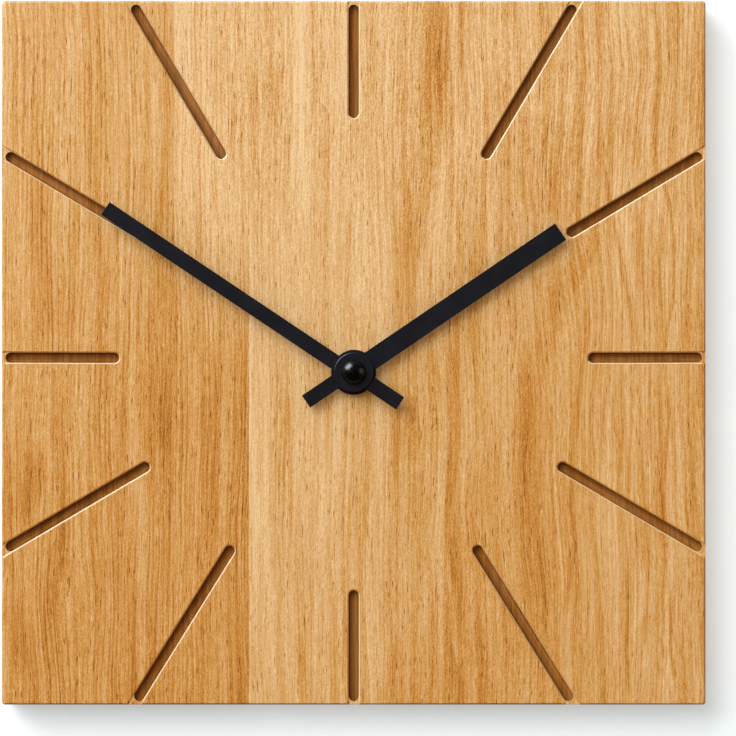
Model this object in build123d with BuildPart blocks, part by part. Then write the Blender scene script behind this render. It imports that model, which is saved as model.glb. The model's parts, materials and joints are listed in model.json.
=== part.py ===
from build123d import *
from math import atan2, cos, degrees, hypot, radians, sin
import os

os.makedirs("parts", exist_ok=True)

# A square oak wall clock: a board of glued staves with twelve routed hour marks, two bar hands on a
# threaded spindle, and a quartz movement set into the back of the board.
# Lengths are in millimetres. Heights run from the wall towards the room, across is to the right and
# up is up, both measured from the spindle. The origin is the hanging eye's centre, on its back face.

# Board
board_side = 250.0
board_thickness = 22.0
board_corner_radius = 1.1
board_edge_radius = 0.9
spindle_drop = 6.9
web_thickness = 4.5
recess_clearance = 2.0
recess_corner_radius = 5.0
bush_hole_clearance = 0.2
cut_overrun = 2.0

# Hour marks, routed into the board's face
mark_width = 3.6
mark_depth = 4.0
mark_bevel = 0.5
mark_inner_radius = 83.3
mark_edge_wall = 1.3
bevel_angle = 45.0
# From the top down to the foot on the right half, seen from the board's centre: the clock angles of each
# mark's inner and outer end, and the place of its inner end as a share of the inner radius
mark_angles = [(0, 0), (33.7, 32.4), (61.0, 60.3), (91.2, 90.8), (118.7, 119.4), (147.9, 148.0), (180, 180)]
mark_inner_shares = [1.001, 0.998, 1.041, 1.0, 0.994, 0.974, 1.013]

# Hands
hand_thickness = 0.5
minute_length = 105.2
minute_width = 5.4
minute_blade_offset = 0.7
hour_length = 88.6
hour_width = 7.05
hour_tail_offset = 0.86
tail_length = 19.8
tail_width = 5.2
hand_eye_radius = 5.0
minute_hub_radius = 6.95
hour_hub_radius = 8.0
hub_thickness = 1.0
hub_chamfer = 0.25
minute_clock_angle = 303.8
hour_clock_angle = 55.8
cap_radius = 4.2
cap_rim = 0.9
cap_dome = 2.9

# Spindle
running_gap = 0.05
seat_gap = 0.02
minute_arbor_radius = 1.7
minute_seat_radius = 1.5
minute_flat_half = 1.2
minute_tip_radius = 1.2
minute_tip_length = 2.2
minute_above_hour = 1.4
hour_pipe_wall = 0.75
hour_pipe_proud = 0.2
collet_wall = 1.2
collet_length = 0.4
bush_radius = 4.0
bush_collar_radius = 4.6
bush_proud = 0.5
hub_above_bush = 0.6
nut_across_flats = 11.0
nut_thickness = 2.0
nut_chamfer = 0.4
brass_washer_radius = 7.4
brass_washer_thickness = 0.5
rubber_washer_radius = 9.0
rubber_washer_thickness = 0.5

# Movement case
case_depth = 16.0
case_wall = 1.2
case_corner_radius = 3.0
case_chamfer = 0.5
chamber_corner_radius = 2.0
chamber_margin = 1.5
cover_lip_depth = 1.2
cover_lip_wall = 0.9
cover_gap = 0.1
boss_radius = 1.6
pivot_hole_floor = 0.4

# Hanger on the case's top
hanger_width = 18.0
hanger_thickness = 2.0
eye_radius = 3.2
eye_above_case = 8.5
foot_width = 13.0
foot_depth = 9.0
foot_thickness = 1.6
rail_wall = 1.6
rail_lip = 1.2
rail_length = 5.0
slide_gap = 0.1
hanger_bay_clearance = 3.0

# Battery and contacts
battery_radius = 7.1
battery_length = 50.5
battery_edge_radius = 0.7
battery_nub_radius = 2.7
battery_nub_length = 1.3
battery_base_radius = 5.6
battery_base_step = 0.2
bay_clearance = 0.3
contact_thickness = 0.4
contact_width = 5.0
contact_plate_half_height = 4.5
contact_gap = 0.05
contact_tail = 3.0
leaf_bow = 2.2
leaf_half_span = 4.0
strip_width = 2.5
finger_notch_radius = 6.0

# Going train and motion work
wheel_thickness = 0.9
motion_wheel_thickness = 1.1
level_gap = 0.6
float_gap = 0.25
leaf_overlap = 0.1
pivot_radius = 0.4
arbor_radius = 0.55
pivot_length = 1.3
rotor_module = 0.25
second_module = 0.4
third_module = 0.28
motion_module = 0.45
rotor_leaves = 8
fifth_teeth = 48
fifth_leaves = 8
second_teeth = 40
second_leaves = 8
third_teeth = 60
third_leaves = 8
centre_teeth = 64
cannon_leaves = 10
motion_teeth = 30
motion_leaves = 8
hour_teeth = 32
setting_leaves = 10
third_bearing = 180.0
fifth_bearing = 110.0
rotor_bearing = 120.0
motion_bearing = -20.0
setting_bearing = 60.0
wheel_window_share = 0.22
wheel_window_place_share = 0.58
wheel_windows = 4
clutch_radius = 3.2
clutch_thickness = 0.2
clutch_rise = 0.25

# Tooth shapes: tip height and root depth in modules, then half widths at tip and root in tooth pitches
wheel_tooth_shares = (0.9, 1.1, 0.12, 0.31)
leaf_tooth_shares = (0.8, 1.25, 0.13, 0.22)

# Bridge, screws and posts
bridge_thickness = 1.2
bridge_margin = 3.2
bridge_corner_radius = 2.0
post_radius = 1.7
screw_radius = 0.7
screw_head_radius = 1.4
screw_head_height = 0.8
screw_length = 4.2
screw_slot_width = 0.35
screw_slot_depth = 0.35

# Stepping motor
magnet_radius = 2.3
magnet_length = 2.8
rotor_air_gap = 0.5
stator_thickness = 0.8
stator_rim = 0.9
stator_half_length = 13.5
stator_leg_width = 4.5
core_width = 3.0
bobbin_wall = 0.5
bobbin_flange_radius = 3.0
bobbin_flange_thickness = 0.8
winding_radius = 2.8
bobbin_clearance = 0.5

# Circuit board
circuit_thickness = 1.0
circuit_length = 25.0
circuit_width = 9.5
circuit_edge_gap = 0.6
circuit_back_height = 4.2
circuit_post_radius = 1.5
circuit_peg_radius = 0.7
circuit_peg_inset = 2.6
circuit_peg_proud = 0.4
chip_radius = 3.0
chip_height = 1.2
crystal_radius = 1.0
crystal_length = 6.0
crystal_lead_length = 1.2
crystal_lead_radius = 0.2

# Setting knob, in a well of the cover
setting_shaft_radius = 1.2
knob_radius = 5.6
knob_thickness = 2.1
knob_groove_radius = 0.55
knob_grooves = 20
knob_bore_depth = 1.4
knob_dimple_radius = 1.5
knob_dimple_depth = 0.5
well_clearance = 0.7
well_wall = 1.0
well_depth = 2.4

# Turns
full_turn = 360.0
half_turn = 180.0
quarter_turn = 90.0


def polar(start, distance, bearing):
    """A point at a distance and a bearing, counted from across towards up."""
    return (start[0] + distance * cos(radians(bearing)), start[1] + distance * sin(radians(bearing)))


def tip_radius(teeth, module, shares):
    """Outer radius of a gear."""
    return teeth * module / 2 + shares[0] * module


def meshing_phase(phase, teeth, mate_teeth, bearing):
    """The phase at which a mate turns a gap to each tooth that comes to the line of centres."""
    offset = (bearing - phase) * teeth / full_turn % 1
    return bearing + half_turn - (1 / 2 - offset) * full_turn / mate_teeth


# Heights of the board's parts and of the spindle's stack
recess_floor = board_thickness - web_thickness
case_front = recess_floor - rubber_washer_thickness
case_back = case_front - case_depth
cover_front = case_back + case_wall
chamber_front = case_front - case_wall
brass_washer_front = board_thickness + brass_washer_thickness
nut_front = brass_washer_front + nut_thickness
bush_front = nut_front + bush_proud
hour_hub_back = bush_front + hub_above_bush
hour_hub_front = hour_hub_back + hub_thickness
hour_hand_front = hour_hub_front + hand_thickness
hour_pipe_front = hour_hand_front + hour_pipe_proud
minute_hand_back = hour_hand_front + minute_above_hour
minute_hand_front = minute_hand_back + hand_thickness
minute_hub_front = minute_hand_front + hub_thickness
cap_front = minute_hub_front + cap_rim + cap_dome

# Heights of the gears, from the hour wheel back to the cover
hour_wheel_front = chamber_front - float_gap
hour_wheel_back = hour_wheel_front - motion_wheel_thickness
motion_wheel_front = hour_wheel_back - level_gap
motion_wheel_back = motion_wheel_front - motion_wheel_thickness
bridge_front = motion_wheel_back - level_gap
bridge_back = bridge_front - bridge_thickness
centre_wheel_front = bridge_back - level_gap
centre_wheel_back = centre_wheel_front - wheel_thickness
minute_arbor_back = centre_wheel_back - level_gap
third_wheel_front = minute_arbor_back - level_gap
third_wheel_back = third_wheel_front - wheel_thickness
second_wheel_front = third_wheel_back - level_gap
second_wheel_back = second_wheel_front - wheel_thickness
fifth_wheel_front = second_wheel_back - level_gap
fifth_wheel_back = fifth_wheel_front - wheel_thickness
boss_front = fifth_wheel_back - level_gap
pivot_hole_back = cover_front - pivot_hole_floor

# Arbors, seen from the front, with the spindle at the middle
third_distance = third_module * (second_leaves + third_teeth) / 2
centre_module = 2 * third_distance / (third_leaves + centre_teeth)
fifth_distance = second_module * (fifth_leaves + second_teeth) / 2
rotor_distance = rotor_module * (rotor_leaves + fifth_teeth) / 2
motion_distance = motion_module * (cannon_leaves + motion_teeth) / 2
hour_module = 2 * motion_distance / (motion_leaves + hour_teeth)
setting_distance = motion_module * (setting_leaves + motion_teeth) / 2
spindle = (0, 0)
third_arbor = polar(spindle, third_distance, third_bearing)
fifth_arbor = polar(spindle, fifth_distance, fifth_bearing)
rotor_arbor = polar(fifth_arbor, rotor_distance, rotor_bearing)
motion_arbor = polar(spindle, motion_distance, motion_bearing)
setting_arbor = polar(motion_arbor, setting_distance, setting_bearing)

# Phases at which every pair of gears stands in mesh
cannon_phase = motion_bearing
motion_wheel_phase = meshing_phase(cannon_phase, cannon_leaves, motion_teeth, motion_bearing)
setting_phase = meshing_phase(motion_wheel_phase, motion_teeth, setting_leaves, setting_bearing)
motion_pinion_phase = motion_bearing + half_turn
hour_phase = meshing_phase(motion_pinion_phase, motion_leaves, hour_teeth, motion_pinion_phase)
second_pinion_phase = third_bearing
third_wheel_phase = meshing_phase(second_pinion_phase, second_leaves, third_teeth, third_bearing)
third_pinion_phase = third_bearing + half_turn
centre_phase = meshing_phase(third_pinion_phase, third_leaves, centre_teeth, third_pinion_phase)
fifth_pinion_phase = fifth_bearing + half_turn
second_wheel_phase = meshing_phase(fifth_pinion_phase, fifth_leaves, second_teeth, fifth_pinion_phase)
rotor_phase = rotor_bearing + half_turn
fifth_wheel_phase = meshing_phase(rotor_phase, rotor_leaves, fifth_teeth, rotor_phase)

# Motor: the stator's bar holds the rotor, and the coil lies above it between the stator's legs
rotor_hole_radius = magnet_radius + rotor_air_gap
stator_bar_half = rotor_hole_radius + stator_rim
magnet_back = fifth_wheel_front + level_gap
magnet_front = magnet_back + magnet_length
stator_back = (magnet_back + magnet_front - stator_thickness) / 2
stator_front = stator_back + stator_thickness
core_front = stator_front + stator_thickness
coil_height = stator_front + stator_thickness / 2
coil_across = rotor_arbor[0]
coil_up = rotor_arbor[1] + stator_bar_half + bobbin_clearance + bobbin_flange_radius
stator_leg_across = stator_half_length - stator_leg_width / 2
bobbin_half_length = stator_half_length - stator_leg_width - bobbin_clearance

# The case goes round the coil above, the motion wheel and the battery below, and the battery's length
motion_wheel_reach = tip_radius(motion_teeth, motion_module, wheel_tooth_shares)
chamber_top = coil_up + bobbin_flange_radius + bobbin_clearance
chamber_bottom = motion_arbor[1] - motion_wheel_reach - chamber_margin
case_top = chamber_top + case_wall
bay_top = chamber_bottom - case_wall
bay_height = 2 * (battery_radius + bay_clearance)
bay_bottom = bay_top - bay_height
bay_middle = bay_top - bay_height / 2
case_bottom = bay_bottom - case_wall
case_middle = (case_top + case_bottom) / 2
inner_width = battery_length + 2 * contact_thickness + leaf_bow + 2 * contact_gap
inner_half = inner_width / 2
case_width = inner_width + 2 * case_wall
chamber_middle = (chamber_top + chamber_bottom) / 2
cover_split = chamber_bottom - case_wall / 2
battery_height = chamber_front - bay_clearance - battery_radius
battery_right = inner_half - contact_thickness - contact_gap
battery_left = battery_right - battery_length

# Hanging eye, which carries the origin
eye_back = case_back
eye_up = case_top + eye_above_case
hanger_top = eye_up + hanger_width / 2

# Bridge outline and its four corner posts
third_wheel_reach = tip_radius(third_teeth, third_module, wheel_tooth_shares)
bridge_left = third_arbor[0] - third_wheel_reach - bridge_margin
bridge_right = setting_arbor[0] + knob_radius
bridge_bottom = motion_arbor[1] - motion_wheel_reach
bridge_top = rotor_arbor[1] + boss_radius
bridge_middle = ((bridge_left + bridge_right) / 2, (bridge_bottom + bridge_top) / 2)
bridge_width = bridge_right - bridge_left
bridge_height = bridge_top - bridge_bottom
post_across = bridge_width / 2 - post_radius
post_up = bridge_height / 2 - post_radius
bridge_posts = []
for across_side in (-1, 1):
    for up_side in (-1, 1):
        post = (bridge_middle[0] + across_side * post_across, bridge_middle[1] + up_side * post_up)
        bridge_posts.append(post)
stator_posts = [(coil_across - stator_leg_across, coil_up), (coil_across + stator_leg_across, coil_up)]

# Circuit board, on two pegs of the cover, at the right of the chamber
circuit_back = case_back + circuit_back_height
circuit_front = circuit_back + circuit_thickness
circuit_right = inner_half - circuit_edge_gap
circuit_left = circuit_right - circuit_width
circuit_middle = (circuit_left + circuit_right) / 2
circuit_bottom = chamber_bottom + strip_width
circuit_top = circuit_bottom + circuit_length
circuit_centre = (circuit_bottom + circuit_top) / 2
circuit_pegs = [(circuit_middle, circuit_centre), (circuit_middle, circuit_top - circuit_peg_inset)]
well_radius = knob_radius + well_clearance
well_floor = case_back + well_depth
setting_pinion_back = motion_wheel_back - leaf_overlap
setting_pinion_front = motion_wheel_front + leaf_overlap
knob_back = case_back + seat_gap
knob_front = knob_back + knob_thickness


def dome_point(radius, rise):
    """The middle of a dome's arc from its rim to its top, measured from the middle of its base."""
    sphere_radius = (radius**2 + rise**2) / (2 * rise)
    half_sweep = atan2(radius, sphere_radius - rise) / 2
    return Vector(sphere_radius * sin(half_sweep), rise - sphere_radius + sphere_radius * cos(half_sweep))


def level(height, centre=(0, 0)):
    """A plane parallel to the board's face, at a height from the wall, with its middle at a centre."""
    across, up = centre
    return Plane(origin=(across, eye_back - height, up - eye_up), x_dir=(1, 0, 0), z_dir=(0, -1, 0))


def hand_level(height, clock_angle):
    """The same plane at the spindle, turned so that its first axis runs along a hand."""
    along = (sin(radians(clock_angle)), 0, cos(radians(clock_angle)))
    return Plane(origin=(0, eye_back - height, -eye_up), x_dir=along, z_dir=(0, -1, 0))


def end_level(across, up, height):
    """A plane square to the battery and the coil, with up as its first axis and height as its second."""
    return Plane(origin=(across, eye_back - height, up - eye_up), x_dir=(0, 0, 1), z_dir=(1, 0, 0))


spindle_axis = Axis((0, 0, -eye_up), (0, -1, 0))


def plan_level(up):
    """A plane seen from above, with across as its first axis and height as its second, facing down."""
    return Plane(origin=(0, eye_back, up - eye_up), x_dir=(1, 0, 0), z_dir=(0, 0, -1))


def disc(radius, back, front, centre=(0, 0), mode=Mode.ADD):
    """A round step between two heights."""
    with BuildSketch(level(back, centre)) as outline:
        Circle(radius)
    extrude(outline.sketch, amount=front - back, mode=mode)


def slab(left, right, bottom, top, back, front, corner=0, mode=Mode.ADD):
    """A flat block between two heights, with its corners rounded where a radius is given."""
    with BuildSketch(level(back, ((left + right) / 2, (bottom + top) / 2))) as outline:
        if corner:
            RectangleRounded(right - left, top - bottom, corner)
        else:
            Rectangle(right - left, top - bottom)
    extrude(outline.sketch, amount=front - back, mode=mode)


def gear(teeth, module, shares, phase, back, front, centre):
    """A gear between two heights, each tooth a straight-sided taper."""
    tip_share, root_share, tip_half_share, root_half_share = shares
    pitch_radius = teeth * module / 2
    outer = pitch_radius + tip_share * module
    root = pitch_radius - root_share * module
    step = full_turn / teeth
    corners = []
    for tooth in range(teeth):
        for radius, half_share in (
            (root, -root_half_share),
            (outer, -tip_half_share),
            (outer, tip_half_share),
            (root, root_half_share),
        ):
            corners.append(polar((0, 0), radius, phase + (tooth + half_share) * step))
    with BuildSketch(level(back, centre)) as outline:
        with BuildLine():
            Polyline(*corners, close=True)
        make_face()
    extrude(outline.sketch, amount=front - back)


def windows(teeth, module, back, front, centre):
    """Round openings that lighten a wheel's web."""
    pitch_radius = teeth * module / 2
    with BuildSketch(level(back, centre)) as outline:
        with PolarLocations(pitch_radius * wheel_window_place_share, wheel_windows):
            Circle(pitch_radius * wheel_window_share)
    extrude(outline.sketch, amount=front - back, mode=Mode.SUBTRACT)


def pivots(back, front, centre):
    """The fine ends of an arbor that turns between the cover's boss and the bridge."""
    disc(arbor_radius, boss_front + float_gap, bridge_back - float_gap, centre)
    disc(pivot_radius, back, front, centre)


# Board: rounded edges, hour marks in its face, and a recess for the movement and its hanger behind
board_middle = (0, spindle_drop)
mark_lines = []
for (inner_angle, outer_angle), inner_share in zip(mark_angles, mark_inner_shares):
    inner_reach = mark_inner_radius * inner_share + mark_width / 2
    edge_share = max(abs(sin(radians(outer_angle))), abs(cos(radians(outer_angle))))
    outer_reach = (board_side / 2 - mark_edge_wall - mark_width / 2) / edge_share
    inner_end = Vector(polar((0, 0), inner_reach, quarter_turn - inner_angle))
    outer_end = Vector(polar((0, 0), outer_reach, quarter_turn - outer_angle))
    mark_lines.append((inner_end, outer_end))
    if 0 < inner_angle < half_turn:
        mark_lines.append((Vector(-inner_end.X, inner_end.Y), Vector(-outer_end.X, outer_end.Y)))

with BuildPart() as board:
    with BuildSketch(level(0, board_middle)):
        RectangleRounded(board_side, board_side, board_corner_radius)
    extrude(amount=board_thickness)
    face_and_back = board.faces().filter_by(Axis.Y)
    fillet(face_and_back.edges(), radius=board_edge_radius)
    with BuildSketch(level(board_thickness, board_middle)):
        for inner_end, outer_end in mark_lines:
            line = outer_end - inner_end
            with Locations((inner_end + outer_end) / 2):
                SlotCenterToCenter(line.length, mark_width, rotation=degrees(atan2(line.Y, line.X)))
    extrude(amount=-mark_depth, mode=Mode.SUBTRACT)
    with BuildSketch(level(board_thickness, board_middle)):
        for inner_end, outer_end in mark_lines:
            line = outer_end - inner_end
            far_end = outer_end + line.normalized() * board_side / 2
            groove = far_end - inner_end
            with Locations((inner_end + far_end) / 2):
                SlotCenterToCenter(
                    groove.length, mark_width + 2 * mark_bevel, rotation=degrees(atan2(line.Y, line.X))
                )
    extrude(amount=-mark_bevel, taper=bevel_angle, mode=Mode.SUBTRACT)
    slab(
        -case_width / 2 - recess_clearance,
        case_width / 2 + recess_clearance,
        case_bottom - recess_clearance,
        case_top + recess_clearance,
        0,
        recess_floor,
        recess_corner_radius,
        Mode.SUBTRACT,
    )
    slab(
        -hanger_width / 2 - hanger_bay_clearance,
        hanger_width / 2 + hanger_bay_clearance,
        case_middle,
        hanger_top + hanger_bay_clearance,
        0,
        recess_floor,
        recess_corner_radius,
        Mode.SUBTRACT,
    )
    disc(bush_radius + bush_hole_clearance, recess_floor, board_thickness, spindle, Mode.SUBTRACT)
board.part.label = "board"
export_step(board.part, "parts/board.step")

# Washers and nut that clamp the movement to the board
with BuildPart() as rubber_washer:
    disc(rubber_washer_radius, case_front, recess_floor)
    disc(bush_radius + bush_hole_clearance, case_front, recess_floor, mode=Mode.SUBTRACT)
rubber_washer.part.label = "rubber_washer"
export_step(rubber_washer.part, "parts/rubber_washer.step")

with BuildPart() as brass_washer:
    disc(brass_washer_radius, board_thickness, brass_washer_front)
    disc(bush_radius + bush_hole_clearance, board_thickness, brass_washer_front, mode=Mode.SUBTRACT)
brass_washer.part.label = "brass_washer"
export_step(brass_washer.part, "parts/brass_washer.step")

with BuildPart() as fixing_nut:
    with BuildSketch(level(brass_washer_front)):
        RegularPolygon(nut_across_flats / 2, 6, major_radius=False)
        Circle(bush_radius + seat_gap, mode=Mode.SUBTRACT)
    extrude(amount=nut_thickness)
    nut_rim = fixing_nut.faces().sort_by(Axis.Y)[0].outer_wire().edges()
    chamfer(nut_rim, length=nut_chamfer)
fixing_nut.part.label = "fixing_nut"
export_step(fixing_nut.part, "parts/fixing_nut.step")

hour_pipe_bore = minute_arbor_radius + running_gap
hour_pipe_radius = hour_pipe_bore + hour_pipe_wall
bush_bore = hour_pipe_radius + running_gap
with BuildPart() as threaded_bush:
    disc(bush_collar_radius, chamber_front, case_front)
    disc(bush_radius, case_front, bush_front)
    disc(bush_bore, chamber_front, bush_front, spindle, Mode.SUBTRACT)
threaded_bush.part.label = "threaded_bush"
export_step(threaded_bush.part, "parts/threaded_bush.step")

# Front case: a tray with the gear chamber above and the battery bay below, both open to the back
screw_hole = screw_radius + seat_gap
rail_back = eye_back + hanger_thickness + float_gap
rail_inner = foot_width / 2 + slide_gap
rail_top = case_top + seat_gap + foot_thickness + slide_gap
rail_front = rail_back + rail_length
notch_front = circuit_front + contact_width + float_gap
finger_notch_floor = chamber_front - finger_notch_radius
with BuildPart() as front_case:
    slab(-case_width / 2, case_width / 2, case_bottom, case_top, case_back, case_front, case_corner_radius)
    chamfer(front_case.faces().filter_by(Axis.Y).edges(), length=case_chamfer)
    slab(
        -case_width, case_width, cover_split, case_top + cut_overrun, case_back, cover_front,
        0, Mode.SUBTRACT,
    )
    slab(
        -inner_half, inner_half, chamber_bottom, chamber_top, cover_front, chamber_front,
        chamber_corner_radius, Mode.SUBTRACT,
    )
    slab(
        -inner_half, inner_half, chamber_bottom, chamber_middle, cover_front, chamber_front,
        0, Mode.SUBTRACT,
    )
    slab(-inner_half, inner_half, bay_bottom, bay_top, case_back, chamber_front, 0, Mode.SUBTRACT)
    disc(bush_collar_radius + seat_gap, chamber_front, case_front, spindle, Mode.SUBTRACT)
    for post in bridge_posts:
        disc(post_radius, bridge_front, chamber_front, post)
        disc(screw_hole, bridge_front, bridge_back + screw_length + level_gap, post, Mode.SUBTRACT)
    for post in stator_posts:
        disc(post_radius, core_front, chamber_front, post)
        disc(screw_hole, core_front, stator_back + screw_length + level_gap, post, Mode.SUBTRACT)
    for arbor in (motion_arbor, setting_arbor):
        disc(pivot_radius + running_gap, chamber_front, case_front - pivot_hole_floor, arbor, Mode.SUBTRACT)
    for side in (-1, 1):
        notch_inner = side * (inner_half - 2 * contact_thickness)
        notch_outer = side * inner_half
        slab(
            min(notch_inner, notch_outer), max(notch_inner, notch_outer), bay_top, chamber_bottom,
            case_back, notch_front, 0, Mode.SUBTRACT,
        )
        rail_near = side * rail_inner
        rail_far = side * (rail_inner + rail_wall)
        rail_lip_edge = side * (rail_inner - rail_lip)
        slab(
            min(rail_near, rail_far), max(rail_near, rail_far), case_top, rail_top + rail_lip,
            rail_back, rail_front,
        )
        slab(
            min(rail_lip_edge, rail_far), max(rail_lip_edge, rail_far), rail_top, rail_top + rail_lip,
            rail_back, rail_front,
        )
    disc(finger_notch_radius, case_back, finger_notch_floor, (0, case_bottom), Mode.SUBTRACT)
front_case.part.label = "front_case"
export_step(front_case.part, "parts/front_case.step")

# Rear cover: a lid over the chamber, with a lip, pivot bosses, circuit pegs and a well for the knob
setting_hole = setting_shaft_radius + running_gap
with BuildPart() as rear_cover:
    slab(-case_width / 2, case_width / 2, case_bottom, case_top, case_back, cover_front, case_corner_radius)
    chamfer(rear_cover.faces().sort_by(Axis.Y)[-1].edges(), length=case_chamfer)
    slab(
        -case_width, case_width, case_bottom - cut_overrun, cover_split + cover_gap, case_back, cover_front,
        0, Mode.SUBTRACT,
    )
    slab(
        -inner_half + cover_gap, inner_half - cover_gap,
        chamber_bottom + cover_gap, chamber_top - cover_gap,
        cover_front, cover_front + cover_lip_depth, chamber_corner_radius,
    )
    lip_inset = cover_gap + cover_lip_wall
    slab(
        -inner_half + lip_inset, inner_half - lip_inset,
        chamber_bottom + lip_inset, chamber_top - lip_inset,
        cover_front, cover_front + cover_lip_depth, chamber_corner_radius - cover_lip_wall, Mode.SUBTRACT,
    )
    for arbor in (spindle, third_arbor, fifth_arbor, rotor_arbor):
        disc(boss_radius, cover_front, boss_front, arbor)
        disc(pivot_radius + running_gap, pivot_hole_back, boss_front, arbor, Mode.SUBTRACT)
    for peg in circuit_pegs:
        disc(circuit_post_radius, cover_front, circuit_back, peg)
        disc(circuit_peg_radius, circuit_back, circuit_front + circuit_peg_proud, peg)
    disc(well_radius + well_wall, cover_front, well_floor + well_wall, setting_arbor)
    disc(well_radius, case_back, well_floor, setting_arbor, Mode.SUBTRACT)
    disc(setting_hole, well_floor, well_floor + well_wall, setting_arbor, Mode.SUBTRACT)
rear_cover.part.label = "rear_cover"
export_step(rear_cover.part, "parts/rear_cover.step")

# Hanger: an eye plate on a foot that slides between the case's rails
with BuildPart() as hanger:
    with BuildSketch(level(eye_back, (0, eye_up))):
        with BuildLine():
            foot_line = case_top + seat_gap - eye_up
            Polyline(
                (-hanger_width / 2, 0),
                (-hanger_width / 2, foot_line),
                (hanger_width / 2, foot_line),
                (hanger_width / 2, 0),
            )
            ThreePointArc((hanger_width / 2, 0), (0, hanger_width / 2), (-hanger_width / 2, 0))
        make_face()
    extrude(amount=hanger_thickness)
    chamfer(hanger.faces().sort_by(Axis.Y)[-1].edges().sort_by(Axis.Z)[1:], length=case_chamfer)
    disc(eye_radius, eye_back, eye_back + hanger_thickness, (0, eye_up), Mode.SUBTRACT)
    slab(
        -foot_width / 2, foot_width / 2, case_top + seat_gap, case_top + seat_gap + foot_thickness,
        eye_back, eye_back + foot_depth,
    )
hanger.part.label = "hanger"
export_step(hanger.part, "parts/hanger.step")

# Bridge: carries the front pivots of the going train and the arbor of the hands
with BuildPart() as train_bridge:
    slab(
        bridge_left, bridge_right, bridge_bottom, bridge_top, bridge_back, bridge_front,
        bridge_corner_radius,
    )
    disc(minute_arbor_radius + running_gap, bridge_back, bridge_front, spindle, Mode.SUBTRACT)
    for arbor in (third_arbor, fifth_arbor, rotor_arbor, motion_arbor):
        disc(pivot_radius + running_gap, bridge_back, bridge_front, arbor, Mode.SUBTRACT)
    disc(setting_hole, bridge_back, bridge_front, setting_arbor, Mode.SUBTRACT)
    for post in bridge_posts:
        disc(screw_hole, bridge_back, bridge_front, post, Mode.SUBTRACT)
train_bridge.part.label = "train_bridge"
export_step(train_bridge.part, "parts/train_bridge.step")

# Six like screws: four hold the bridge, two hold the stator and the coil's core
with BuildPart() as movement_screws:
    screw_seats = [(post, bridge_back) for post in bridge_posts]
    screw_seats.extend((post, stator_back) for post in stator_posts)
    for post, seat in screw_seats:
        disc(screw_head_radius, seat - screw_head_height, seat, post)
        disc(screw_radius, seat, seat + screw_length, post)
        slab(
            post[0] - screw_head_radius, post[0] + screw_head_radius,
            post[1] - screw_slot_width / 2, post[1] + screw_slot_width / 2,
            seat - screw_head_height, seat - screw_head_height + screw_slot_depth, 0, Mode.SUBTRACT,
        )
movement_screws.part.label = "movement_screws"
export_step(movement_screws.part, "parts/movement_screws.step")

# Stepping motor: stator plate, core, bobbin, winding, and the rotor with its magnet
stator_bar_up = rotor_arbor[1]
with BuildPart() as stator:
    slab(
        coil_across - stator_half_length, coil_across + stator_half_length,
        stator_bar_up - stator_bar_half, stator_bar_up + stator_bar_half, stator_back, stator_front,
    )
    for post in stator_posts:
        slab(
            post[0] - stator_leg_width / 2, post[0] + stator_leg_width / 2,
            stator_bar_up, coil_up + stator_leg_width / 2, stator_back, stator_front,
        )
        disc(screw_hole, stator_back, stator_front, post, Mode.SUBTRACT)
    disc(rotor_hole_radius, stator_back, stator_front, rotor_arbor, Mode.SUBTRACT)
stator.part.label = "stator"
export_step(stator.part, "parts/stator.step")

with BuildPart() as coil_core:
    slab(
        coil_across - stator_half_length, coil_across + stator_half_length,
        coil_up - core_width / 2, coil_up + core_width / 2, stator_front, core_front,
    )
    for post in stator_posts:
        slab(
            post[0] - stator_leg_width / 2, post[0] + stator_leg_width / 2,
            coil_up - stator_leg_width / 2, coil_up + stator_leg_width / 2, stator_front, core_front,
        )
        disc(screw_hole, stator_front, core_front, post, Mode.SUBTRACT)
coil_core.part.label = "coil_core"
export_step(coil_core.part, "parts/coil_core.step")

barrel_radius = hypot(core_width, stator_thickness) / 2 + bobbin_wall
with BuildPart() as coil_bobbin:
    with BuildSketch(end_level(coil_across - bobbin_half_length, coil_up, coil_height)):
        Circle(barrel_radius)
    extrude(amount=2 * bobbin_half_length)
    for flange_across in (-bobbin_half_length, bobbin_half_length - bobbin_flange_thickness):
        with BuildSketch(end_level(coil_across + flange_across, coil_up, coil_height)):
            Circle(bobbin_flange_radius)
        extrude(amount=bobbin_flange_thickness)
    with BuildSketch(end_level(coil_across - bobbin_half_length, coil_up, coil_height)):
        Rectangle(core_width + 2 * seat_gap, stator_thickness + 2 * seat_gap)
    extrude(amount=2 * bobbin_half_length, mode=Mode.SUBTRACT)
coil_bobbin.part.label = "coil_bobbin"
export_step(coil_bobbin.part, "parts/coil_bobbin.step")

winding_half_length = bobbin_half_length - bobbin_flange_thickness - seat_gap
with BuildPart() as coil_winding:
    with BuildSketch(end_level(coil_across - winding_half_length, coil_up, coil_height)):
        Circle(winding_radius)
        Circle(barrel_radius + seat_gap, mode=Mode.SUBTRACT)
    extrude(amount=2 * winding_half_length)
coil_winding.part.label = "coil_winding"
export_step(coil_winding.part, "parts/coil_winding.step")

pivot_back = boss_front - pivot_length
pivot_front = bridge_back + pivot_length - float_gap
with BuildPart() as rotor_pinion:
    pivots(pivot_back, pivot_front, rotor_arbor)
    gear(
        rotor_leaves, rotor_module, leaf_tooth_shares, rotor_phase,
        fifth_wheel_back - leaf_overlap, fifth_wheel_front + leaf_overlap, rotor_arbor,
    )
rotor_pinion.part.label = "rotor_pinion"
export_step(rotor_pinion.part, "parts/rotor_pinion.step")

with BuildPart() as rotor_magnet:
    disc(magnet_radius, magnet_back, magnet_front, rotor_arbor)
    disc(arbor_radius + seat_gap, magnet_back, magnet_front, rotor_arbor, Mode.SUBTRACT)
rotor_magnet.part.label = "rotor_magnet"
export_step(rotor_magnet.part, "parts/rotor_magnet.step")

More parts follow.
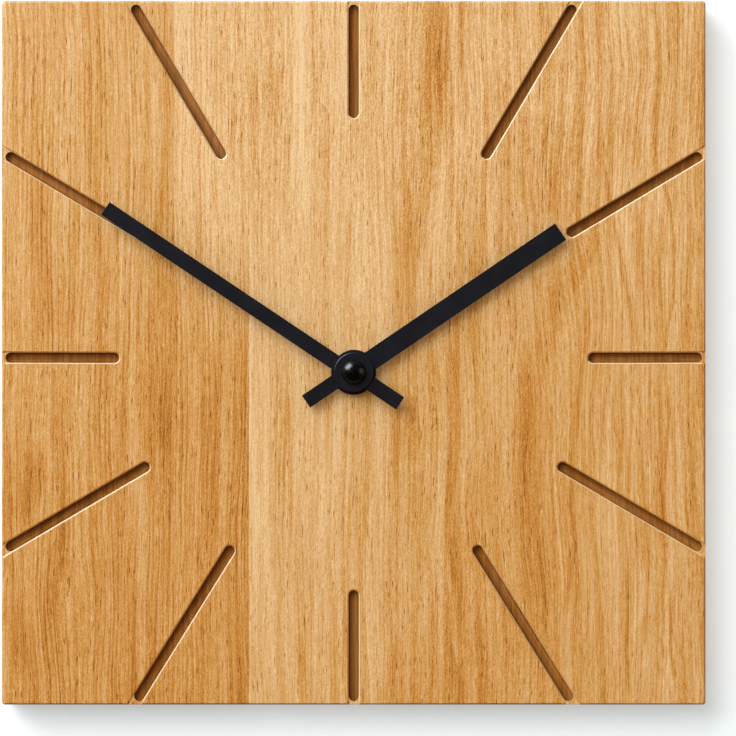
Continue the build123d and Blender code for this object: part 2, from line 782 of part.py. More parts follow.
# Going train, from the rotor to the centre wheel
with BuildPart() as fifth_wheel:
    gear(
        fifth_teeth, rotor_module, wheel_tooth_shares, fifth_wheel_phase,
        fifth_wheel_back, fifth_wheel_front, fifth_arbor,
    )
    windows(fifth_teeth, rotor_module, fifth_wheel_back, fifth_wheel_front, fifth_arbor)
    gear(
        fifth_leaves, second_module, leaf_tooth_shares, fifth_pinion_phase,
        fifth_wheel_front, second_wheel_front + leaf_overlap, fifth_arbor,
    )
    pivots(pivot_back, pivot_front, fifth_arbor)
fifth_wheel.part.label = "fifth_wheel"
export_step(fifth_wheel.part, "parts/fifth_wheel.step")

with BuildPart() as second_wheel:
    gear(
        second_teeth, second_module, wheel_tooth_shares, second_wheel_phase,
        second_wheel_back, second_wheel_front, spindle,
    )
    windows(second_teeth, second_module, second_wheel_back, second_wheel_front, spindle)
    gear(
        second_leaves, third_module, leaf_tooth_shares, second_pinion_phase,
        second_wheel_front, third_wheel_front + leaf_overlap, spindle,
    )
    disc(arbor_radius, boss_front + float_gap, second_wheel_back, spindle)
    disc(pivot_radius, pivot_back, minute_arbor_back + pivot_length, spindle)
second_wheel.part.label = "second_wheel"
export_step(second_wheel.part, "parts/second_wheel.step")

with BuildPart() as third_wheel:
    gear(
        third_teeth, third_module, wheel_tooth_shares, third_wheel_phase,
        third_wheel_back, third_wheel_front, third_arbor,
    )
    windows(third_teeth, third_module, third_wheel_back, third_wheel_front, third_arbor)
    gear(
        third_leaves, centre_module, leaf_tooth_shares, third_pinion_phase,
        third_wheel_front, centre_wheel_front + leaf_overlap, third_arbor,
    )
    pivots(pivot_back, pivot_front, third_arbor)
third_wheel.part.label = "third_wheel"
export_step(third_wheel.part, "parts/third_wheel.step")

with BuildPart() as centre_wheel:
    gear(
        centre_teeth, centre_module, wheel_tooth_shares, centre_phase,
        centre_wheel_back, centre_wheel_front, spindle,
    )
    windows(centre_teeth, centre_module, centre_wheel_back, centre_wheel_front, spindle)
    disc(minute_seat_radius + running_gap, centre_wheel_back, centre_wheel_front, spindle, Mode.SUBTRACT)
centre_wheel.part.label = "centre_wheel"
export_step(centre_wheel.part, "parts/centre_wheel.step")

# Clutch: a dished washer on the minute arbor that presses on the centre wheel
clutch_front = centre_wheel_back - seat_gap
with BuildPart() as clutch_spring:
    with BuildSketch(plan_level(0)):
        with BuildLine():
            Polyline(
                (minute_seat_radius + seat_gap, clutch_front - clutch_rise - clutch_thickness),
                (clutch_radius, clutch_front - clutch_thickness),
                (clutch_radius, clutch_front),
                (minute_seat_radius + seat_gap, clutch_front - clutch_rise),
                close=True,
            )
        make_face()
    revolve(axis=spindle_axis)
clutch_spring.part.label = "clutch_spring"
export_step(clutch_spring.part, "parts/clutch_spring.step")

# Spindle and motion work
with BuildPart() as minute_arbor:
    disc(minute_seat_radius, minute_arbor_back, centre_wheel_front)
    disc(minute_arbor_radius, centre_wheel_front + float_gap / 2, minute_hand_back)
    disc(minute_seat_radius, centre_wheel_front, centre_wheel_front + float_gap / 2)
    gear(
        cannon_leaves, motion_module, leaf_tooth_shares, cannon_phase,
        motion_wheel_back - leaf_overlap, motion_wheel_front + leaf_overlap, spindle,
    )
    with BuildSketch(hand_level(minute_hand_back, minute_clock_angle)):
        Circle(minute_seat_radius)
        Rectangle(2 * minute_seat_radius, 2 * minute_flat_half, mode=Mode.INTERSECT)
    extrude(amount=minute_hub_front - minute_hand_back)
    disc(minute_tip_radius, minute_hub_front, minute_hub_front + minute_tip_length)
    disc(
        pivot_radius + running_gap, minute_arbor_back, minute_arbor_back + pivot_length + float_gap,
        spindle, Mode.SUBTRACT,
    )
minute_arbor.part.label = "minute_arbor"
export_step(minute_arbor.part, "parts/minute_arbor.step")

with BuildPart() as motion_wheel:
    gear(
        motion_teeth, motion_module, wheel_tooth_shares, motion_wheel_phase,
        motion_wheel_back, motion_wheel_front, motion_arbor,
    )
    windows(motion_teeth, motion_module, motion_wheel_back, motion_wheel_front, motion_arbor)
    gear(
        motion_leaves, hour_module, leaf_tooth_shares, motion_pinion_phase,
        motion_wheel_front, hour_wheel_front, motion_arbor,
    )
    disc(arbor_radius, bridge_front + float_gap, motion_wheel_back, motion_arbor)
    disc(pivot_radius, bridge_back, case_front - pivot_hole_floor - float_gap, motion_arbor)
motion_wheel.part.label = "motion_wheel"
export_step(motion_wheel.part, "parts/motion_wheel.step")

with BuildPart() as hour_wheel:
    gear(
        hour_teeth, hour_module, wheel_tooth_shares, hour_phase, hour_wheel_back, hour_wheel_front, spindle
    )
    disc(hour_pipe_radius, hour_wheel_front, hour_pipe_front)
    disc(hour_pipe_bore, hour_wheel_back, hour_pipe_front, spindle, Mode.SUBTRACT)
hour_wheel.part.label = "hour_wheel"
export_step(hour_wheel.part, "parts/hour_wheel.step")

with BuildPart() as setting_shaft:
    gear(
        setting_leaves, motion_module, leaf_tooth_shares, setting_phase,
        setting_pinion_back, setting_pinion_front, setting_arbor,
    )
    disc(setting_shaft_radius, knob_front - knob_bore_depth, setting_pinion_back, setting_arbor)
    disc(pivot_radius, setting_pinion_front, case_front - pivot_hole_floor - float_gap, setting_arbor)
setting_shaft.part.label = "setting_shaft"
export_step(setting_shaft.part, "parts/setting_shaft.step")

with BuildPart() as setting_knob:
    with BuildSketch(level(knob_back, setting_arbor)):
        Circle(knob_radius)
        with PolarLocations(knob_radius, knob_grooves):
            Circle(knob_groove_radius, mode=Mode.SUBTRACT)
    extrude(amount=knob_thickness)
    disc(
        setting_shaft_radius + seat_gap, knob_front - knob_bore_depth, knob_front,
        setting_arbor, Mode.SUBTRACT,
    )
    dimple_ball = (knob_dimple_radius**2 + knob_dimple_depth**2) / (2 * knob_dimple_depth)
    dimple_place = (setting_arbor[0], setting_arbor[1] + knob_radius / 2)
    with Locations(level(knob_back + knob_dimple_depth - dimple_ball, dimple_place).origin):
        Sphere(dimple_ball, mode=Mode.SUBTRACT)
setting_knob.part.label = "setting_knob"
export_step(setting_knob.part, "parts/setting_knob.step")

# Hands, their hub discs and the domed nut
with BuildPart() as hour_hub:
    disc(hour_hub_radius, hour_hub_back, hour_hub_front)
    chamfer(hour_hub.faces().sort_by(Axis.Y)[0].edges(), length=hub_chamfer)
    disc(hour_pipe_radius + collet_wall, hour_hub_back - collet_length, hour_hub_back)
    disc(hour_pipe_radius + seat_gap, hour_hub_back - collet_length, hour_hub_front, spindle, Mode.SUBTRACT)
hour_hub.part.label = "hour_hub"
export_step(hour_hub.part, "parts/hour_hub.step")

with BuildPart() as hour_hand:
    with BuildSketch(hand_level(hour_hub_front, hour_clock_angle)):
        with Locations((hour_length / 2, 0)):
            Rectangle(hour_length, hour_width)
        with Locations((-tail_length / 2, hour_tail_offset)):
            Rectangle(tail_length, tail_width)
        Circle(hand_eye_radius)
        Circle(hour_pipe_radius + seat_gap, mode=Mode.SUBTRACT)
    extrude(amount=hand_thickness)
hour_hand.part.label = "hour_hand"
export_step(hour_hand.part, "parts/hour_hand.step")

minute_hole = minute_seat_radius + seat_gap
minute_hole_flat = minute_flat_half + seat_gap
with BuildPart() as minute_hand:
    with BuildSketch(hand_level(minute_hand_back, minute_clock_angle)):
        with Locations((minute_length / 2, minute_blade_offset)):
            Rectangle(minute_length, minute_width)
        with Locations((-tail_length / 2, 0)):
            Rectangle(tail_length, tail_width)
        Circle(hand_eye_radius)
    extrude(amount=hand_thickness)
    with BuildSketch(hand_level(minute_hand_back, minute_clock_angle)):
        Circle(minute_hole)
        Rectangle(2 * minute_hole, 2 * minute_hole_flat, mode=Mode.INTERSECT)
    extrude(amount=hand_thickness, mode=Mode.SUBTRACT)
minute_hand.part.label = "minute_hand"
export_step(minute_hand.part, "parts/minute_hand.step")

with BuildPart() as minute_hub:
    disc(minute_hub_radius, minute_hand_front, minute_hub_front)
    chamfer(minute_hub.faces().sort_by(Axis.Y)[0].edges(), length=hub_chamfer)
    with BuildSketch(hand_level(minute_hand_front, minute_clock_angle)):
        Circle(minute_hole)
        Rectangle(2 * minute_hole, 2 * minute_hole_flat, mode=Mode.INTERSECT)
    extrude(amount=hub_thickness, mode=Mode.SUBTRACT)
minute_hub.part.label = "minute_hub"
export_step(minute_hub.part, "parts/minute_hub.step")

with BuildPart() as cap_nut:
    dome_back = minute_hub_front + cap_rim
    dome_middle = dome_point(cap_radius, cap_dome) + Vector(0, dome_back)
    with BuildSketch(plan_level(0)):
        with BuildLine():
            Polyline(
                (0, cap_front),
                (0, minute_hub_front),
                (cap_radius, minute_hub_front),
                (cap_radius, dome_back),
            )
            ThreePointArc((cap_radius, dome_back), dome_middle, (0, cap_front))
        make_face()
    revolve(axis=spindle_axis)
    disc(
        minute_tip_radius + seat_gap, minute_hub_front, minute_hub_front + minute_tip_length + float_gap,
        spindle, Mode.SUBTRACT,
    )
cap_nut.part.label = "cap_nut"
export_step(cap_nut.part, "parts/cap_nut.step")

# Circuit board with its chip and its quartz crystal
with BuildPart() as circuit_board:
    slab(circuit_left, circuit_right, circuit_bottom, circuit_top, circuit_back, circuit_front)
    for peg in circuit_pegs:
        disc(circuit_peg_radius + seat_gap, circuit_back, circuit_front, peg, Mode.SUBTRACT)
circuit_board.part.label = "circuit_board"
export_step(circuit_board.part, "parts/circuit_board.step")

chip_place = (circuit_middle, circuit_bottom + circuit_length / 4)
with BuildPart() as chip:
    chip_centre = level(circuit_front, chip_place).origin
    with BuildSketch(Plane(origin=chip_centre, x_dir=(1, 0, 0), z_dir=(0, 0, -1))):
        with BuildLine():
            Polyline((0, chip_height), (0, 0), (chip_radius, 0))
            ThreePointArc((chip_radius, 0), dome_point(chip_radius, chip_height), (0, chip_height))
        make_face()
    revolve(axis=Axis(chip_centre, (0, -1, 0)))
chip.part.label = "chip"
export_step(chip.part, "parts/chip.step")

crystal_place = (circuit_right - 2 * crystal_radius, circuit_top - circuit_peg_inset - crystal_length)
with BuildPart() as quartz_crystal:
    crystal_height = circuit_front + crystal_radius
    crystal_foot = Plane(
        origin=level(crystal_height, crystal_place).origin, x_dir=(1, 0, 0), z_dir=(0, 0, 1)
    )
    with BuildSketch(crystal_foot):
        Circle(crystal_radius)
    extrude(amount=crystal_length)
    with BuildSketch(crystal_foot):
        with Locations((-crystal_radius / 2, 0), (crystal_radius / 2, 0)):
            Circle(crystal_lead_radius)
    extrude(amount=-crystal_lead_length)
quartz_crystal.part.label = "quartz_crystal"
export_step(quartz_crystal.part, "parts/quartz_crystal.step")

# Battery and its contacts
with BuildPart() as battery:
    body_length = battery_length - battery_nub_length - battery_base_step
    with BuildSketch(end_level(battery_left + battery_base_step, bay_middle, battery_height)):
        Circle(battery_radius)
    extrude(amount=body_length)
    fillet(battery.edges().filter_by(GeomType.CIRCLE), radius=battery_edge_radius)
    with BuildSketch(end_level(battery_left, bay_middle, battery_height)):
        Circle(battery_base_radius)
    extrude(amount=battery_base_step)
    with BuildSketch(end_level(battery_right - battery_nub_length, bay_middle, battery_height)):
        Circle(battery_nub_radius)
    extrude(amount=battery_nub_length)
battery.part.label = "battery"
export_step(battery.part, "parts/battery.step")

contact_back = circuit_front
contact_front = circuit_front + contact_width
leaf_low = battery_height - leaf_half_span
leaf_high = battery_height + leaf_half_span
plate_bottom = bay_middle - contact_plate_half_height
plate_top = bay_middle + contact_plate_half_height
with BuildPart() as contact_positive:
    slab(inner_half - contact_thickness, inner_half, plate_bottom, plate_top, leaf_low, leaf_high)
    slab(
        inner_half - contact_thickness, inner_half, bay_middle, circuit_bottom + contact_tail,
        contact_back, contact_front,
    )
    slab(
        circuit_right - contact_tail, inner_half, circuit_bottom, circuit_bottom + contact_tail,
        contact_back, contact_back + contact_thickness,
    )
contact_positive.part.label = "contact_positive"
export_step(contact_positive.part, "parts/contact_positive.step")

leaf_wall = -inner_half + contact_thickness
leaf_tip = battery_left - contact_gap
with BuildPart() as contact_negative:
    slab(-inner_half, leaf_wall, plate_bottom, plate_top, leaf_low, leaf_high)
    slab(
        -inner_half, leaf_wall, bay_middle, chamber_bottom + contact_thickness, contact_back, contact_front
    )
    slab(
        -inner_half, circuit_left + contact_tail, chamber_bottom, chamber_bottom + contact_thickness,
        contact_back, contact_back + strip_width,
    )
    slab(
        circuit_left, circuit_left + contact_tail, chamber_bottom, circuit_bottom + contact_tail,
        contact_back, contact_back + contact_thickness,
    )
    with BuildSketch(plan_level(bay_middle + contact_plate_half_height / 2)):
        with BuildLine():
            ThreePointArc((leaf_wall, leaf_low), (leaf_tip, battery_height), (leaf_wall, leaf_high))
            Line((leaf_wall, leaf_high), (leaf_wall, leaf_high - contact_thickness))
            ThreePointArc(
                (leaf_wall, leaf_high - contact_thickness),
                (leaf_tip - contact_thickness, battery_height),
                (leaf_wall, leaf_low + contact_thickness),
            )
            Line((leaf_wall, leaf_low + contact_thickness), (leaf_wall, leaf_low))
        make_face()
    extrude(amount=contact_plate_half_height)
contact_negative.part.label = "contact_negative"
export_step(contact_negative.part, "parts/contact_negative.step")
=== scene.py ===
import json
from math import atan, cos, pi, radians, sin

import bmesh
import bpy
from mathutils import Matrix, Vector


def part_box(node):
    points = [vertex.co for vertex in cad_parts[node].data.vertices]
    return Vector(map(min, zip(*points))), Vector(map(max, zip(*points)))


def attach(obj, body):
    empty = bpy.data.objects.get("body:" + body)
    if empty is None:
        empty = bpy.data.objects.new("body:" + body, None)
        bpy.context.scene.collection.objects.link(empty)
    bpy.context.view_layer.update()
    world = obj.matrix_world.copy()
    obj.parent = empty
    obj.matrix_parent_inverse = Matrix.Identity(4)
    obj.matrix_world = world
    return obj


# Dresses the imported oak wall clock: procedural materials on every node, raised moulding marks on the
# movement's back, the wall behind it, soft light from the upper left and a camera straight in front.
# Lengths are in metres unless a name says mm. +X is right, +Y goes into the wall and +Z is up.

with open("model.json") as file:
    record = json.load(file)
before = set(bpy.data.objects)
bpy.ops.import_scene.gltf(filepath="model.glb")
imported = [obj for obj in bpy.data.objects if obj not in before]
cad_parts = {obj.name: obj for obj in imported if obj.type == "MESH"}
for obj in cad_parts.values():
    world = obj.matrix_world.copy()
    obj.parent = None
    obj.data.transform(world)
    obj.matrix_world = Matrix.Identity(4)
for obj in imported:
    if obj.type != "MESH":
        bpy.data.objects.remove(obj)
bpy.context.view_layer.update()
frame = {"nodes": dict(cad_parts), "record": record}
nodes = frame["nodes"]

board_low, board_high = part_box("board")
board_middle = (board_low + board_high) / 2
board_side = board_high.x - board_low.x
face_y = board_low.y
wall_y = board_high.y
spindle_low, spindle_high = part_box("minute_arbor")
spindle = (spindle_low + spindle_high) / 2

# The photograph's frame, the board's side in it and the board's middle, in pixels
photo_side = 736
board_pixels = 704
board_pixel = (353.7, 352.8)


def linear(*codes):
    """An 8-bit display colour as a linear colour with alpha."""
    shares = [code / 255 for code in codes]
    return tuple(s / 12.92 if s <= 0.04045 else ((s + 0.055) / 1.055) ** 2.4 for s in shares) + (1,)


class Graph:
    """A material with one principled shader and short calls for the nodes that feed it."""

    def __init__(self, name):
        self.material = bpy.data.materials.new(name)
        self.material.use_nodes = True
        self.tree = self.material.node_tree
        self.tree.nodes.clear()
        self.shader = self.tree.nodes.new("ShaderNodeBsdfPrincipled")
        self.output = self.tree.nodes.new("ShaderNodeOutputMaterial")
        self.tree.links.new(self.shader.outputs["BSDF"], self.output.inputs["Surface"])

    def feed(self, socket, value):
        if isinstance(value, bpy.types.NodeSocket):
            self.tree.links.new(value, socket)
        else:
            socket.default_value = value

    def set(self, **values):
        for name, value in values.items():
            self.feed(self.shader.inputs[name.replace("_", " ")], value)
        return self.material

    def math(self, operation, first, second=None, third=None):
        node = self.tree.nodes.new("ShaderNodeMath")
        node.operation = operation
        for socket, value in zip(node.inputs, (first, second, third)):
            if value is not None:
                self.feed(socket, value)
        return node.outputs[0]

    def add(self, first, second):
        return self.math("ADD", first, second)

    def times(self, first, second):
        return self.math("MULTIPLY", first, second)

    def over(self, value, edge):
        """1 where the value is above the edge, else 0."""
        return self.math("GREATER_THAN", value, edge)

    def span(self, value, low, high, to_low=0.0, to_high=1.0, smooth=True):
        """The value's way from low to high, held at both ends; low may be the larger one."""
        node = self.tree.nodes.new("ShaderNodeMapRange")
        node.interpolation_type = "SMOOTHSTEP" if smooth else "LINEAR"
        for name, item in (
            ("Value", value),
            ("From Min", low),
            ("From Max", high),
            ("To Min", to_low),
            ("To Max", to_high),
        ):
            self.feed(node.inputs[name], item)
        return node.outputs[0]

    def vector(self, x, y, z):
        node = self.tree.nodes.new("ShaderNodeCombineXYZ")
        for socket, value in zip(node.inputs, (x, y, z)):
            self.feed(socket, value)
        return node.outputs[0]

    def place(self):
        """Across, depth and up in millimetres, in the object's own space."""
        coordinates = self.tree.nodes.new("ShaderNodeTexCoord")
        split = self.tree.nodes.new("ShaderNodeSeparateXYZ")
        self.tree.links.new(coordinates.outputs["Object"], split.inputs[0])
        return [self.times(axis, 1000.0) for axis in split.outputs]

    def facing(self, direction):
        """How far the surface faces a direction of the object's own space, from -1 to 1."""
        coordinates = self.tree.nodes.new("ShaderNodeTexCoord")
        return self.dot(coordinates.outputs["Normal"], direction)

    def dot(self, vector, direction):
        """How far a vector reaches along a fixed direction."""
        node = self.tree.nodes.new("ShaderNodeVectorMath")
        node.operation = "DOT_PRODUCT"
        self.tree.links.new(vector, node.inputs[0])
        node.inputs[1].default_value = direction
        return node.outputs["Value"]

    def stretched(self, place, across, depth, up):
        """A place with each axis scaled, for patterns that are longer one way than another."""
        return self.vector(*(self.times(p, s) for p, s in zip(place, (across, depth, up))))

    def noise(self, vector, detail=2.0, roughness=0.5):
        node = self.tree.nodes.new("ShaderNodeTexNoise")
        node.inputs["Scale"].default_value = 1.0
        node.inputs["Detail"].default_value = detail
        node.inputs["Roughness"].default_value = roughness
        self.feed(node.inputs["Vector"], vector)
        return node.outputs["Fac"]

    def cells(self, vector):
        """Distance to the nearest of scattered points, and that point's own random value."""
        node = self.tree.nodes.new("ShaderNodeTexVoronoi")
        node.inputs["Scale"].default_value = 1.0
        self.feed(node.inputs["Vector"], vector)
        split = self.tree.nodes.new("ShaderNodeSeparateColor")
        self.tree.links.new(node.outputs["Color"], split.inputs[0])
        return node.outputs["Distance"], split.outputs[0]

    def mix(self, share, first, second):
        node = self.tree.nodes.new("ShaderNodeMix")
        node.data_type = "RGBA"
        sockets = {s.identifier: s for s in node.inputs}
        self.feed(sockets["Factor_Float"], share)
        self.feed(sockets["A_Color"], first)
        self.feed(sockets["B_Color"], second)
        return [s for s in node.outputs if s.identifier == "Result_Color"][0]

    def ramp(self, share, stops):
        node = self.tree.nodes.new("ShaderNodeValToRGB")
        elements = node.color_ramp.elements
        while len(elements) < len(stops):
            elements.new(0.5)
        for element, (position, colour) in zip(elements, stops):
            element.position = position
            element.color = colour
        self.feed(node.inputs[0], share)
        return node.outputs["Color"]

    def bump(self, height, distance_mm, strength):
        node = self.tree.nodes.new("ShaderNodeBump")
        node.inputs["Strength"].default_value = strength
        node.inputs["Distance"].default_value = distance_mm / 1000
        self.feed(node.inputs["Height"], height)
        self.feed(self.shader.inputs["Normal"], node.outputs[0])


# The middle lines of the hour marks, apart from the upright ones, as on the right half: clock angles of
# both ends from the board's middle, and the side of the painted shade on the right and on the left half
mark_lines = (
    (33.7, 32.4, 1, -1),
    (61.0, 60.3, 1, 1),
    (91.2, 90.8, 1, 1),
    (118.7, 119.4, 1, 1),
    (147.9, 148.0, -1, 1),
)
# How far the marks' inner ends lie from the board's middle
mark_inner_mm = 85.0
# Half the width within which a point belongs to a mark, how far the marks stay off the board's edge, and
# the depths from the face at which a mark's bevel ends and its floor lies
mark_reach_mm = 2.4
mark_margin_mm = 1.2
mark_bevel_mm = 0.5
mark_floor_mm = 4.0


def oak():
    """Glued oak staves: growth rings, upright fibres, dark pores and amber flames, with painted light and
    shade in the hour marks and on the edges.
    """
    g = Graph("oak")
    across, depth, height = g.place()
    depth = g.add(depth, -face_y * 1000)
    up = g.add(height, -board_middle.z * 1000)
    half_mm = board_side * 500
    joints_mm = (-64.0, -37.3)
    steps = [g.over(across, edge) for edge in joints_mm]

    def by_stave(values):
        total = values[0]
        for step, before, after in zip(steps, values, values[1:]):
            total = g.add(total, g.times(step, after - before))
        return total

    def centred(source):
        return g.add(source, -0.5)

    # The grain drifts sideways as it runs up the board, most in the widest stave
    shift = by_stave((0.0, 371.0, 713.0))
    along = g.add(up, shift)
    slow = g.noise(g.stretched((across, depth, along), 0.012, 0.012, 0.0075), 2.0)
    quick = g.noise(g.stretched((across, depth, along), 0.05, 0.05, 0.022), 2.0)
    sway = g.add(by_stave((9.0, 7.0, 10.0)), g.times(g.span(across, 8.0, 40.0), 9.0))
    drift = g.add(g.times(centred(slow), sway), g.times(centred(quick), 2.2))

    # Near a hidden knot the grain spreads: middle, half width and half height in mm, and how much
    for knot_across, knot_up, knot_wide, knot_tall, spread in (
        (76.0, 20.0, 20.0, 42.0, 9.0),
        (-100.0, -88.0, 22.0, 40.0, 8.0),
        (4.0, 24.0, 18.0, 44.0, 4.0),
    ):
        side = g.times(g.add(across, -knot_across), 1 / knot_wide)
        rise = g.times(g.add(up, -knot_up), 1 / knot_tall)
        away = g.math("SQRT", g.add(g.times(side, side), g.times(rise, rise)))
        drift = g.add(drift, g.times(g.times(side, g.span(away, 1.0, 0.0)), -spread))
    place = (g.add(g.add(across, drift), shift), depth, up)

    # Tone runs from pale at 0 to dark amber at 1. Each stave darkens towards its foot, partly its own tone
    # and partly
    # painted light: the paler top stands in for the sheen and for light that falls from above, the darker
    # foot for painted shade. The right part of the widest one is darker than its left part
    heart = g.span(g.add(across, g.times(centred(quick), 14.0)), 8.0, 19.0)
    top_tone_and_sheen = g.add(by_stave((0.44, 0.29, 0.28)), g.times(heart, 0.10))
    foot_tone_and_shade = g.add(by_stave((0.62, 0.61, 0.42)), g.times(heart, 0.13))
    light_fall_start = by_stave((half_mm, 70.0, half_mm))
    light_fall_end = by_stave((-half_mm, -20.0, -half_mm))
    tone_and_light_fall = g.span(up, light_fall_start, light_fall_end)
    tone = g.add(top_tone_and_sheen, g.times(tone_and_light_fall, g.add(foot_tone_and_shade, g.times(top_tone_and_sheen, -1.0))))
    # Painted light: at the right of the widest stave the tone turns paler towards the foot, against the
    # light's falloff there, and a touch darker above the middle
    tone = g.add(tone, g.times(g.span(across, 70.0, 100.0), g.span(up, 0.0, -90.0, 0.03, -0.06)))

    # Fibres of several lengths: scale across and along the grain, detail, weight
    fibres = (
        (2.20, 0.260, 1.0, 0.60),
        (1.90, 0.060, 2.0, 0.66),
        (1.10, 0.014, 2.0, 0.50),
        (0.45, 0.012, 3.0, 0.42),
        (0.20, 0.009, 3.0, 0.42),
        (0.09, 0.008, 3.0, 0.36),
        (0.03, 0.011, 3.0, 0.24),
    )
    # Short slanting flecks lie over the fibres, weaker in the outer part on the right
    skew = g.vector(
        g.add(g.times(place[0], 2.3), g.times(up, 0.55)),
        depth,
        g.add(up, g.times(place[0], -1.1)),
    )
    outer = g.span(across, 55.0, 85.0)
    speckle = g.span(outer, 0.0, 1.0, 0.78, 0.64)
    weave = g.times(centred(g.noise(skew, 1.0, 0.6)), speckle)
    sources = []
    for wide, long, detail, weight in fibres:
        source = g.noise(g.stretched(place, wide, wide, long), detail, 0.55)
        sources.append(source)
        weave = g.add(weave, g.times(centred(source), weight))
    for source, weight in ((sources[2], 0.14), (sources[4], 0.16)):
        weave = g.add(weave, g.times(g.times(centred(source), outer), weight))
    # The grain is clearer towards the top, right of the first joint
    crisp = g.times(g.span(up, 0.0, 90.0), steps[0])
    tone = g.add(tone, g.times(weave, g.add(g.times(crisp, 0.34), 1.0)))

    # Growth rings darken slowly and end sharply: pitch in mm, weight in each stave, where they show
    rings = (
        (1.9, (0.24, 0.24, 0.09), sources[5]),
        (7.5, (0.10, 0.08, 0.16), sources[6]),
    )
    for pitch, weights, cover in rings:
        bend = g.noise(g.stretched(place, 0.5 / pitch, 0.5 / pitch, 0.006), 2.0)
        year = g.math("FRACT", g.add(g.times(place[0], 1 / pitch), g.times(centred(bend), 3.0)))
        late = g.times(g.span(year, 0.30, 0.94), g.span(year, 1.0, 0.95))
        shown = g.times(by_stave(weights), g.span(cover, 0.36, 0.60, 0.15, 1.0))
        tone = g.add(tone, g.times(g.add(late, -0.4), shown))

    # Amber flames, thin year lines and, where the strength is negative, pale bands: points from top to foot
    # and half width, all in mm, strength, and the side with the sharp edge
    flames = (
        (((31, 118), (28, 83), (22, 49), (18, 20)), 3.6, 0.20, 1),
        (((62, 82), (72, 46)), 9.0, 0.12, 0),
        (((84, 40), (72, 15), (63, -12), (60, -40)), 4.0, 0.14, 1),
        (((35.5, 10), (35, -35), (36.5, -75), (39, -104)), 2.2, 0.20, -1),
        (((18, -20), (20, -64)), 4.0, 0.13, 0),
        (((67, -10), (62, -50), (65, -80), (63, -108)), 5.0, 0.14, -1),
        (((46, -40), (41, -74)), 3.0, 0.10, 0),
        (((86.6, 120), (86, 44)), 1.3, 0.15, 1),
        (((108, 118), (107, 70)), 1.1, 0.15, -1),
        (((119, 112), (118, 85)), 1.6, 0.12, 0),
        (((-68, 60), (-68.5, -10), (-69, -95)), 4.0, 0.09, 0),
        (((-68, -10), (-69, -38)), 3.4, 0.09, 1),
        (((-113, -36), (-116, -60)), 4.2, 0.18, 1),
        (((-94, 115), (-93, 36)), 1.8, 0.14, 0),
        (((-111, 60), (-107, 8)), 5.0, 0.10, 0),
        (((-67, 125), (-66.5, 20)), 2.4, 0.04, 1),
        (((-89, 36), (-89, -24)), 1.6, 0.12, 0),
        (((-121, -88), (-118, -112)), 4.0, 0.13, 0),
        (((47, 118), (39, 83), (32, 49), (29, 25)), 4.0, -0.10, -1),
        (((29, -30), (30, -100)), 2.4, -0.10, 1),
        (((54, 8), (50, -24)), 4.0, -0.06, 0),
        (((97, 120), (96, 0), (98, -120)), 3.6, -0.07, 1),
        (((114, 60), (113, -110)), 2.6, -0.07, 0),
        (((-19, 125), (-18, 20)), 4.6, -0.05, 0),
        (((-101, 115), (-99, 36)), 2.6, -0.07, 1),
        (((-83, 90), (-82, 0)), 3.0, -0.05, 0),
        (((88, 68), (90.5, 54), (95, 32), (98, 15), (98.7, 3)), 0.8, 0.20, 1),
        (((108, 68), (111.5, 54), (113.5, 36), (113, 18), (111, 3)), 0.7, 0.26, 1),
        (((95.5, 49), (99, 32), (102, 15), (103, 3)), 1.6, -0.14, -1),
        (((108, 38), (109.7, 6)), 0.5, 0.14, 0),
        (((116, 36), (115.4, 10)), 1.4, -0.14, 0),
        (((98.7, -4), (98, -26), (97.3, -49)), 0.6, 0.18, -1),
        (((111, -6), (112.5, -22), (110.8, -49), (109.7, -65)), 0.7, 0.22, 1),
        (((102.6, -4), (103.3, -26), (105.4, -49)), 1.2, -0.14, 1),
        (((89.8, -4), (87.7, -31), (87.3, -49)), 0.8, 0.14, 0),
        (((112.2, -88), (112.5, -103), (114.3, -118)), 0.6, 0.26, -1),
        (((110.6, -84), (111, -103), (112.8, -118)), 0.7, -0.18, 0),
        (((97.3, -74), (96.6, -92), (97.3, -103), (98, -122)), 0.8, 0.18, 1),
        (((102.6, -74), (102, -90), (99.4, -99)), 1.0, -0.14, 0),
        (((77, -70), (76, -92)), 1.0, 0.16, -1),
        (((104, 46), (104, 6)), 13.0, 0.06, 0),
    )
    wobble = g.add(across, g.times(centred(quick), 5.0))
    for points, half_width, strength, sharp in flames:
        middle = points[0][0]
        for (here, high), (there, low) in zip(points, points[1:]):
            middle = g.add(middle, g.span(up, high, low, 0.0, there - here, smooth=False))
        top, foot = points[0][1], points[-1][1]
        reach = (top - foot) * 0.25
        lit = g.times(g.span(up, top + reach, top - reach), g.span(up, foot - reach, foot + reach))
        off = g.math("SUBTRACT", wobble, middle)
        left_soft = half_width * (0.3 if sharp < 0 else 1.0)
        right_soft = half_width * (0.3 if sharp > 0 else 1.0)
        body = g.times(
            g.span(off, -half_width - left_soft, left_soft - half_width),
            g.span(off, half_width + right_soft, half_width - right_soft),
        )
        tone = g.add(tone, g.times(g.times(lit, body), strength))

    # Pores are dark dashes along the grain, some short and some long, and a few fibres catch the light
    near, chance = g.cells(g.stretched(place, 1.5, 1.5, 0.17))
    broad, luck = g.cells(g.stretched(place, 0.85, 0.85, 0.05))
    bright, gleam = g.cells(g.stretched(place, 1.35, 1.35, 0.20))
    short_dash = g.times(g.span(near, 0.32, 0.10), g.over(chance, 0.72))
    long_dash = g.times(g.span(broad, 0.19, 0.06), g.over(luck, 0.60))
    pores = g.math("MINIMUM", g.add(short_dash, long_dash), 1.0)
    inky = g.times(g.span(sources[4], 0.35, 0.65, 0.40, 0.74), g.span(outer, 0.0, 1.0, 1.0, 0.70))
    tone = g.add(tone, g.times(pores, inky))
    tone = g.add(tone, g.times(g.times(g.span(bright, 0.30, 0.10), g.over(gleam, 0.84)), -0.24))

